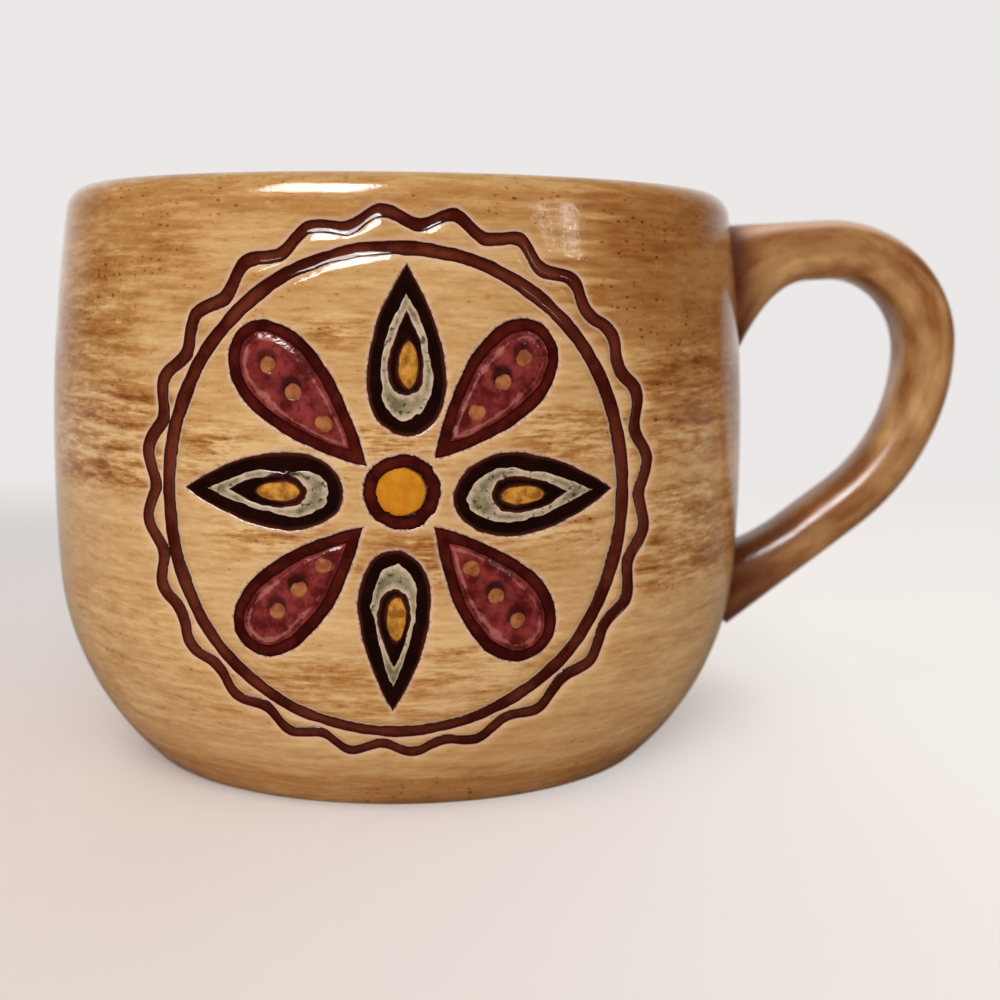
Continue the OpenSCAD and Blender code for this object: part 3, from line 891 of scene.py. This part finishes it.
@dataclass
class CupBody:
    """The cast cup: wall, lip, floor and foot, with the rosette's cuts in its front."""

    wall: CupWall
    fills: GlazeFills
    fine: float = 0.25
    front_a: float = 41.0
    back_steps: int = 64
    cut: float = 0.9
    lip_w: float = 0.55
    pale_w: float = 0.3
    lip_share: float = 0.85
    crumb_share: float = 0.8
    plain_drag: float = 0.38
    # Where the brush left the glaze thick. A depth below zero paints the wall paler instead, as painted
    # light from the pale table below, low on the left and low in the middle. In the flat drawing: middle,
    # half width, half height, depth and how streaky it is. The last six are on the back.
    washes: tuple[tuple[float, float, float, float, float, float], ...] = (
        (42, 25, 21, 9, 0.9, 0.4), (43, 9, 14, 7, 0.75, 0.9), (44, -6, 15, 6, 0.45, 1.1),
        (-42, 5, 14, 6, 0.6, 1.3), (-40, 28, 16, 6, 0.5, 0.7), (-46, 17, 13, 5, 0.6, 0.9),
        (-6, 18, 22, 6, 0.18, 0.4), (0, 31, 60, 3, 0.35, 0.45), (-21, 4.5, 4, 2.5, 0.3, 1.6),
        (-4, 5.5, 7, 2, 0.25, 1.6), (20, 6, 7, 3, 0.25, 1.4), (-7.5, 17.5, 3, 1, 0.35, 1.6),
        (4, -7, 7, 2.5, 0.25, 1.5), (8, -18.5, 8, 2, 0.15, 1.2), (-14, -4.5, 6, 2, 0.25, 1.4),
        (16, -3.5, 6, 2, 0.25, 1.4), (-38, -21, 18, 8, -0.35, 0.5), (-2, -22, 14, 4, -0.2, 0.9),
        (95, 22, 28, 7, 0.6, 0.8), (105, 2, 26, 5, 0.4, 1.1), (-100, 18, 30, 6, 0.5, 0.9),
        (-112, -6, 24, 5, 0.35, 1.2), (138, -14, 22, 4, 0.3, 1.0), (-136, 8, 18, 4, 0.4, 1.1))

    def turn_profile(self) -> Object:
        """Turn the cup's section round its axis, finely in front and coarsely behind.

        Returns:
            The cup, before it is carved.
        """
        # With no window open, the spin goes clockwise seen from above.
        start = math.radians(-90 + self.front_a)
        section = self.wall.section(self.fine)
        Workbench.pick()
        bpy.ops.mesh.primitive_plane_add(size=MM)
        cup = bpy.context.object
        cup.name = cup.data.name = "cup_wall"
        bpy.ops.object.mode_set(mode="EDIT")
        bpy.ops.mesh.merge(type="CENTER")
        points = [Vector((p[0] * math.cos(start), p[0] * math.sin(start), p[1])) * MM for p in section]
        bpy.ops.transform.translate(value=points[0])
        for here, there in zip(points, points[1:]):
            bpy.ops.mesh.extrude_vertices_move(TRANSFORM_OT_translate={"value": there - here})
        bpy.ops.mesh.select_all(action="SELECT")
        front = math.radians(2 * self.front_a)
        for steps, angle in ((round(front * self.wall.belly_r / self.fine), front),
                             (self.back_steps, math.radians(360 - 2 * self.front_a))):
            bpy.ops.mesh.spin(steps=steps, angle=angle, center=(0, 0, 0), axis=(0, 0, 1))
        bpy.ops.object.mode_set(mode="OBJECT")
        Workbench.weld(cup)
        return cup

    def carve(self, cup: Object) -> None:
        """Sink the cuts into the wall, round their lips and mark lips and pooled crumbs for the finish.

        Args:
            cup: The turned cup.
        """
        points = np.empty(len(cup.data.vertices) * 3)
        cup.data.vertices.foreach_get("co", points)
        points = points.reshape(-1, 3) * PER_MM
        self.brush(cup, points)
        reach, z = np.hypot(points[:, 0], points[:, 1]), points[:, 2]
        front = np.flatnonzero((reach > self.wall.radius(z) - 0.5) & (z > 3) & (z < 70.2)
                               & (points[:, 1] < -10))
        flat = self.wall.flatten(points[front])
        sink, lip, crumb = (np.zeros(len(front)) for _ in range(3))
        rough = np.random.RandomState(17).uniform(size=len(front))
        for outer, inner, drop in self.fills.pockets():
            off = loop_distance(flat, outer)
            if inner is not None:
                off = np.maximum(off, -loop_distance(flat, inner))
            outside = np.maximum(off, 0)
            near = np.exp(-(outside / self.lip_w) ** 2)
            sink = np.maximum(sink, drop * near + (self.cut - drop) * smooth(-off / 0.35))
            lip = np.maximum(lip, np.exp(-(outside / self.pale_w) ** 2))
            if inner is None:
                crumb = np.maximum(crumb, (rough > 0.6) * np.exp(-(outside / 0.14) ** 2))
        group = cup.vertex_groups.new(name="cuts")
        for index, depth in zip(front[sink > 0.002], sink[sink > 0.002]):
            group.add([int(index)], float(depth / self.cut), "REPLACE")
        Workbench.modify(cup, "DISPLACE", strength=-self.cut * MM, mid_level=0.0, vertex_group="cuts",
                         direction="NORMAL")
        cup.vertex_groups.remove(cup.vertex_groups["cuts"])
        for name, values in (("lip", lip * self.lip_share), ("pool", crumb * self.crumb_share)):
            marks = np.zeros(len(points))
            marks[front] = values
            Workbench.mark(cup, name, marks)

    def brush(self, cup: Object, points: np.ndarray) -> None:
        """Mark how thick and how streaky the brush left the glaze.

        Args:
            cup: The turned cup.
            points: Its vertices in millimetres, one row each.
        """
        reach, z = np.hypot(points[:, 0], points[:, 1]), points[:, 2]
        u_all, v_all = self.wall.flatten(points).T
        # The wall is darker towards the foot.
        wash = 0.5 * smooth((7 - z) / 4) * (reach > 30)
        drag = np.full(len(z), self.plain_drag)
        outside = reach > self.wall.radius(z) - 2.5
        for u, v, wide, high, depth, streaks in self.washes:
            # The brush lifted off at a different place along each streak.
            end = 0.12 * wide * (np.sin(1.9 * v_all + u) + np.sin(4.3 * v_all + v))
            there = smooth((wide + 4 + end - np.abs(u_all - u)) / 8) * outside
            there *= smooth((high + 1.5 - np.abs(v_all - v)) / 3)
            # A depth below zero lightens the glaze there: painted light.
            wash = wash + depth * there if depth < 0 else np.maximum(wash, depth * there)
            drag += (streaks - drag) * there
        # The streaks run together towards the sides.
        round_by = np.abs(u_all)
        drag *= 1 - 0.65 * smooth((round_by - 44) / 14) * smooth((90 - round_by) / 15)
        Workbench.mark(cup, "wash", wash)
        Workbench.mark(cup, "drag", drag)

    def build(self, smear: Material, bare: Material) -> None:
        """Make the cup and dress it.

        Args:
            smear: The finish of the cup.
            bare: The finish of the ring that it stands on.
        """
        cup = self.turn_profile()
        self.carve(cup)
        Workbench.soften(cup, 60)
        Workbench.hand_over(cup, "cup_body", "smear_glaze", smear, bare)
        for face in cup.data.polygons:
            if face.center.z < 0.15 * MM:
                face.material_index = 1


@dataclass
class Handle:
    """The loop handle, cast apart and luted to the wall at both ends."""

    wall: CupWall
    reach: float = 29.5
    top_z: float = 65.5
    rise: float = 3.5
    upper_bend_r: float = 13.2
    lower_bend_r: float = 26.6
    slope: float = 37.0
    upper_t: float = 7.9
    lower_t: float = 7.4
    width: float = 11.0
    upper_flare: float = 9.0
    lower_flare: float = 3.1
    flare_run: float = 10.0
    root_spread: float = 3.0
    squareness: float = 3.2
    lower_squareness: float = 2.3
    dip: float = 0.15
    sides: int = 56
    upper_root_x: float = 41.2
    lower_root_x: float = 42.4
    run_steps: int = 36
    bend_steps: int = 48

    def flare(self, x: float) -> float:
        """Give the share of a root's spread at a distance from the cup's axis."""
        start = self.wall.belly_r - self.wall.wall / 4
        return max(0.0, 1 - max(0.0, x - start) / self.flare_run) ** 2

    def stations(self) -> list[tuple[np.ndarray, float, float, float, float]]:
        """Follow the handle's middle line from the upper end to the lower.

        Returns:
            For each place its middle, heading, thickness, growth of the inner side and share of the roots'
            spread.
        """
        rise, slope = math.radians(self.rise), math.radians(self.slope)
        heading = slope - math.pi
        bend_x = self.reach - self.lower_t / 2 - self.upper_bend_r
        upper_c = np.array([self.wall.belly_r + bend_x, self.top_z + bend_x * math.tan(rise)
                            - self.upper_bend_r / math.cos(rise)])
        lower_c = upper_c + [self.upper_bend_r - self.lower_bend_r, 0]
        way, side = self.wall.way, lambda a: np.array([-math.sin(a), math.cos(a)])
        upper_end = upper_c + self.upper_bend_r * side(rise)
        lower_end = lower_c + self.lower_bend_r * side(heading)
        run, bend, places = self.run_steps, self.bend_steps, []
        for i in range(run + 1):
            x = self.upper_root_x + (upper_end[0] - self.upper_root_x) * i / run
            p = upper_end - (upper_end[0] - x) / math.cos(rise) * way(rise)
            places.append((p, rise, self.upper_t, self.upper_flare * self.flare(x), self.flare(x)))
        for i in range(1, bend + 1):
            h = rise - (QUARTER + rise) * i / bend
            thick = self.upper_t + (self.lower_t - self.upper_t) * i / bend
            places.append((upper_c + self.upper_bend_r * side(h), h, thick, 0.0, 0.0))
        for i in range(1, bend + 1):
            h = -QUARTER + (heading + QUARTER) * i / bend
            dip = self.dip * math.sin(math.pi * i / 64) ** 2
            p = lower_c + (self.lower_bend_r - dip / 2) * side(h)
            places.append((p, h, self.lower_t - dip, 0.0, 0.0))
        for i in range(1, run + 1):
            x = lower_end[0] + (self.lower_root_x - lower_end[0]) * i / run
            dip = self.dip * max(0.0, 0.5 - i / 24)
            p = lower_end + (lower_end[0] - x) / math.cos(slope) * way(heading) - dip / 2 * side(heading)
            places.append((p, heading, self.lower_t - dip, self.lower_flare * self.flare(x), self.flare(x)))
        return places

    def build(self, smear: Material) -> None:
        """Make the handle and dress it.

        Args:
            smear: Its finish.
        """
        places = self.stations()
        piece, column, row = Workbench.grid("handle_loop", len(places) - 1, self.sides)
        turn = 2 * math.pi * (row % self.sides) / self.sides
        middle = np.array([p[0] for p in places])[column]
        heading, thick, grow, spread = (np.array([p[k] for p in places])[column] for k in (1, 2, 3, 4))
        square = self.squareness + (self.lower_squareness - self.squareness) * smooth(-1.2 - heading)
        over = np.sign(np.cos(turn)) * np.abs(np.cos(turn)) ** (2 / square)
        side = np.sign(np.sin(turn)) * np.abs(np.sin(turn)) ** (2 / square)
        normal = np.stack([-np.sin(heading), np.cos(heading)], 1)
        rim = middle - grow[:, None] / 2 * normal + ((thick + grow) / 2 * over)[:, None] * normal
        points = np.stack([rim[:, 0], (self.width + self.root_spread * spread) / 2 * side, rim[:, 1]], 1)
        steps = np.linalg.norm(np.diff([p[0] for p in places], axis=0), axis=1)
        along = np.concatenate([[0], np.cumsum(steps)])[column]
        gap = np.maximum(np.hypot(points[:, 0], points[:, 1]) - self.wall.radius(points[:, 2]), 0)
        Workbench.place(piece, points)
        # The glaze is paler inside the bend and lies thick at the roots. Along the upper run a painted
        # highlight lies pale over the top edge, with a darker line of painted shade in the crease below it.
        # On the lower run the upper side is darker and the lower side paler.
        upper, lower = smooth((heading + 0.9) / 0.5), smooth((-1.7 - heading) / 0.6)
        crease = np.exp(-((over - 0.64) / 0.07) ** 2) * upper
        stripe = np.exp(-((over + 0.3) / 0.28) ** 2) * (1 - lower)
        lower_run_sides = lower * (0.3 * smooth(-over / 0.4) - 0.12 * smooth(over / 0.4))
        for name, values in (
                ("along", along * MM), ("side", side * self.width / 2 * MM),
                ("over", over * thick / 2 * MM),
                ("wash", 0.66 + 0.35 * np.exp(-gap / 5) + 0.22 * crease - 0.2 * stripe + lower_run_sides),
                ("drag", np.full(len(gap), 0.8)),
                ("lip", 0.9 * np.exp(-((over - 0.86) / 0.12) ** 2) * upper),
                ("pool", (0.82 + 0.14 * np.cos(9 * over)) * np.exp(-(gap / (2.3 + 4.2 * lower)) ** 2))):
            Workbench.mark(piece, name, values)
        Workbench.weld(piece, outward=False)
        bpy.ops.object.mode_set(mode="EDIT")
        bpy.ops.mesh.select_all(action="DESELECT")
        bpy.ops.mesh.select_non_manifold()
        bpy.ops.mesh.edge_face_add()
        bpy.ops.mesh.select_all(action="SELECT")
        bpy.ops.mesh.normals_make_consistent(inside=False)
        bpy.ops.object.mode_set(mode="OBJECT")
        Workbench.soften(piece, 60)
        Workbench.hand_over(piece, "handle", "smear_glaze", smear)


@dataclass
class Studio:
    """Pale table, soft light from the upper left and the photograph's camera.

    The table, the room and the lamps are given in metres, as Blender counts.
    """

    eye: tuple[float, float, float] = (0.0, -215.85, 60.05)
    yaw: float = 3.552
    pitch: float = -7.366
    roll: float = 0.539
    lens: float = 57.6
    f_stop: float = 24.0
    focus: tuple[float, float, float] = (0.0, -42.0, 38.0)
    table: str = "#EFE2DB"
    far: str = "#F0ECEA"
    bright: str = "#F5EFEA"
    wall: str = "#EBE8E7"
    gloom: str = "#3A332D"

    def build_table(self) -> None:
        """Lay the table, which fades into the background behind the cup."""
        Workbench.pick()
        bpy.ops.mesh.primitive_plane_add(size=6, location=(0, 0, -0.02 * MM))
        table = bpy.context.object
        table.name = table.data.name = "table"
        material, tree = new_finish("matt_white_laminate")
        place = add_node(tree, "TexCoord").outputs["Object"]
        right, away, _ = add_node(tree, "SeparateXYZ", {0: place}).outputs
        around = add_node(tree, "VectorMath", {0: place}, operation="LENGTH").outputs["Value"]
        off = add_node(tree, "VectorMath", {0: place, 1: (0.015, 0.02, 0)},
                       operation="DISTANCE").outputs["Value"]
        # The camera sees a painted glow on the table that lifts it, most on the right; close to the cup the
        # glow gives way, so that the table shows its shadow in full.
        back, far, fade, clear, haze, ahead, lift = (
            add_node(tree, "MapRange", {0: amount, 1: start, 2: full, 3: least, 4: most},
                     interpolation_type=ease).outputs[0]
            for amount, start, full, least, most, ease in (
                (away, -0.12, 0.26, 0.0, 1.0, "SMOOTHSTEP"), (around, 0.4, 0.9, 0.0, 1.0, "SMOOTHSTEP"),
                (away, 0.16, 0.32, 0.0, 1.0, "SMOOTHSTEP"), (off, 0.02, 0.045, 0.4, 1.0, "SMOOTHSTEP"),
                (away, 0.08, 0.3, 0.0, 1.0, "LINEAR"), (away, 0.3, -0.06, 0.0, 1.0, "LINEAR"),
                (right, -0.05, 0.075, 0.05, 0.95, "LINEAR")))
        colour = add_node(tree, "Mix", {0: back, 6: linear(self.table), 7: linear(self.far)},
                          data_type="RGBA").outputs[2]
        matt = add_node(tree, "BsdfPrincipled", {"Base Color": colour, "Roughness": 0.5})
        haze = add_node(tree, "Math", {0: haze, 1: far}, operation="MAXIMUM").outputs[0]
        haze = add_node(tree, "Mix", {0: haze, 6: linear(self.bright), 7: linear(self.wall)},
                        data_type="RGBA").outputs[2]
        glow = add_node(tree, "Emission", {"Color": haze, "Strength": 1.0})
        lift = add_node(tree, "Math", {0: lift, 1: clear}, operation="MULTIPLY").outputs[0]
        for part in (lift, far):
            fade = add_node(tree, "Math", {0: fade, 1: part}, operation="MAXIMUM").outputs[0]
        # The front of the table ends in the dark of the room, which only shows in the cup's gloss.
        dusk = add_node(tree, "Emission", {"Color": linear(self.gloom), "Strength": 1.0})
        ray = add_node(tree, "LightPath")
        surface = matt
        for seen, part, over in (("Is Camera Ray", fade, glow), ("Is Glossy Ray", ahead, dusk)):
            share = add_node(tree, "Math", {0: ray.outputs[seen], 1: part},
                             operation="MULTIPLY").outputs[0]
            surface = add_node(tree, "MixShader",
                               {0: share, 1: surface.outputs[0], 2: over.outputs[0]})
        add_node(tree, "OutputMaterial", {"Surface": surface.outputs[0]})
        table.data.materials.append(material)

    def build_room(self) -> None:
        """Close the room with a shell, dark in front and bright behind, seen only in the cup's gloss."""
        Workbench.pick()
        bpy.ops.mesh.primitive_uv_sphere_add(segments=48, ring_count=24, radius=2.4)
        room = bpy.context.object
        room.name = room.data.name = "dim_room"
        material, tree = new_finish("dim_room_paint")
        place = add_node(tree, "TexCoord").outputs["Object"]
        away = add_node(tree, "SeparateXYZ", {0: place}).outputs["Y"]
        back = add_node(tree, "MapRange", {0: away, 1: 1.0, 2: 2.3},
                        interpolation_type="SMOOTHSTEP").outputs[0]
        colour = add_node(tree, "Mix", {0: back, 6: linear(self.gloom), 7: linear(self.wall)},
                          data_type="RGBA").outputs[2]
        glow = add_node(tree, "Emission", {"Color": colour, "Strength": 1.0})
        add_node(tree, "OutputMaterial", {"Surface": glow.outputs[0]})
        room.data.materials.append(material)
        room.visible_camera = room.visible_diffuse = room.visible_shadow = room.visible_transmission = False

    def build_light(self) -> None:
        """Set the room's soft light, the strip lights on the upper left and the windows on the right."""
        world = bpy.data.worlds.new("pale_room")
        world.use_nodes = True
        tree = world.node_tree
        tree.nodes.clear()
        ray = add_node(tree, "LightPath").outputs
        seen = ray["Is Camera Ray"]
        for kind in ("Is Glossy Ray", "Is Transmission Ray"):
            seen = add_node(tree, "Math", {0: seen, 1: ray[kind]}, operation="MAXIMUM").outputs[0]
        strength = add_node(tree, "MapRange", {0: seen, 3: 0.55, 4: 1.0}).outputs[0]
        room = add_node(tree, "Background", {"Color": linear(self.wall), "Strength": strength})
        add_node(tree, "OutputWorld", {"Surface": room.outputs[0]})
        bpy.context.scene.world = world
        self.lamp("soft_box", -20, 40, 1.3, (1.2, 1.0), 12.5).visible_glossy = False
        for name, azimuth, elevation, distance, size, power in (
                ("strip_light_left", -37.3, 50, 0.9, (0.39, 0.48), 11.0),
                ("strip_light_right", -19.8, 50, 0.9, (0.126, 0.48), 3.6),
                ("window_left", 46.5, 17.3, 1.2, (0.1, 0.012), 0.14),
                ("window_middle", 55, 17.8, 1.2, (0.02, 0.02), 0.16),
                ("window_right", 57, 15.3, 1.2, (0.02, 0.02), 0.12)):
            self.lamp(name, azimuth, elevation, distance, size, power).visible_diffuse = False

    @staticmethod
    def lamp(name: str, azimuth: float, elevation: float, distance: float, size: tuple[float, float],
             power: float) -> Object:
        """Hang an area lamp that faces the cup.

        Args:
            name: Its name.
            azimuth: Its direction in degrees, from the front towards the right.
            elevation: Its height in degrees.
            distance: How far from the cup, in metres.
            size: Its width and height in metres.
            power: Its power in watts.
        Returns:
            The lamp.
        """
        data = bpy.data.lights.new(name, "AREA")
        data.shape, data.size, data.size_y, data.energy = "RECTANGLE", size[0], size[1], power
        lamp = bpy.data.objects.new(name, data)
        a, e = math.radians(azimuth), math.radians(elevation)
        way = Vector((math.sin(a) * math.cos(e), -math.cos(a) * math.cos(e), math.sin(e)))
        aim = Vector((0, 0, 40 * MM))
        facing = way.to_track_quat("Z", "Y").to_matrix().to_4x4()
        lamp.matrix_world = Matrix.Translation(aim + way * distance) @ facing
        bpy.context.scene.collection.objects.link(lamp)
        return lamp

    def build_camera(self) -> None:
        """Set the camera where the photograph was taken."""
        yaw, pitch, roll = (math.radians(a) for a in (self.yaw, self.pitch, self.roll))
        ahead = Vector((math.sin(yaw) * math.cos(pitch), math.cos(yaw) * math.cos(pitch), math.sin(pitch)))
        right = Vector((math.cos(yaw), -math.sin(yaw), 0))
        up = right.cross(ahead)
        right, up = (right * math.cos(roll) + up * math.sin(roll),
                     up * math.cos(roll) - right * math.sin(roll))
        data = bpy.data.cameras.new("camera")
        data.lens, data.sensor_width, data.sensor_fit = self.lens, 36.0, "HORIZONTAL"
        data.clip_start, data.clip_end = 0.01, 20.0
        # Sharp on the rosette and a little soft at the sides, as in the photograph.
        mark = bpy.data.objects.new("focus_mark", None)
        mark.location = Vector(self.focus) * MM
        bpy.context.scene.collection.objects.link(mark)
        data.dof.use_dof, data.dof.focus_object, data.dof.aperture_fstop = True, mark, self.f_stop
        camera = bpy.data.objects.new("camera", data)
        turn = Matrix((right, up, -ahead)).transposed().to_4x4()
        camera.matrix_world = Matrix.Translation(Vector(self.eye) * MM) @ turn
        bpy.context.scene.collection.objects.link(camera)
        bpy.context.scene.camera = camera


def main() -> None:
    """Build the cup round its solid model, and the studio round the cup."""
    logging.basicConfig(level=logging.INFO, format="%(name)s %(message)s")
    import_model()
    bpy.context.scene.view_settings.view_transform = "Standard"
    studio = Studio()
    studio.build_camera()
    studio.build_table()
    studio.build_room()
    studio.build_light()

    glazes = {glaze.name: glaze.make() for glaze in (
        PooledGlaze("russet_line_glaze", "#401108", "#632A1A", "#2A0502", 5.0, 0.65, "#2A0A04", 0.3,
                    ior=1.42),
        PooledGlaze("maroon_line_glaze", "#340906", "#50160F", "#200402", 2.6, 0.5, "#1E0402", 0.3,
                    ior=1.42),
        PooledGlaze("brown_black_line_glaze", "#120402", "#1C0603", "#4C2018", 3.0, 0.6, "#3A160A", 0.2,
                    ior=1.42),
        PooledGlaze("speckled_grey_glaze", "#6E6648", "#978A6C", "#D2B8A0", 1.3, 1.0, "#2E2616", 0.8,
                    ragged_mm=1.2),
        PooledGlaze("oxblood_glaze", "#541410", "#883230", "#A05E54", 2.2, 0.35, "#44100C", 0.5,
                    relief_mm=0.4, roughness=0.16, ragged_mm=1.8),
        PooledGlaze("amber_glaze", "#C07412", "#CE8A24", "#8A4E12", 3.0, 0.3, "#A06418", 0.2),
        PooledGlaze("brown_amber_glaze", "#8E5A20", "#CE923A", "#7A4A1C", 1.2, 0.2, "#5A3514", 0.3),
        PooledGlaze("dull_ochre_glaze", "#8A4A28", "#AA6C3C", "#7E3C2C", 1.2, 0.35, "#5A2A14", 0.3,
                    roughness=0.2))}

    wall = CupWall()
    fills = GlazeFills(wall, glazes)
    CupBody(wall, fills).build(SmearGlaze(Brushing.ROUND).make(), BareClay().make())
    duller = SmearGlaze(Brushing.ALONG, ((22, 12, 0.5, 0.9), (9, 3.2, 0.55, 1.9), (3.5, 1.6, 0.5, 0.7)),
                        grit_share=0.2, tan="#B98C58", brown="#8C5629", roughness=0.26)
    Handle(wall).build(duller.make())
    fills.build_lines()
    for petal in fills.greys:
        fills.build_grey(petal)
    for petal in fills.reds:
        fills.build_red(petal)


if __name__ == "__main__":
    main()
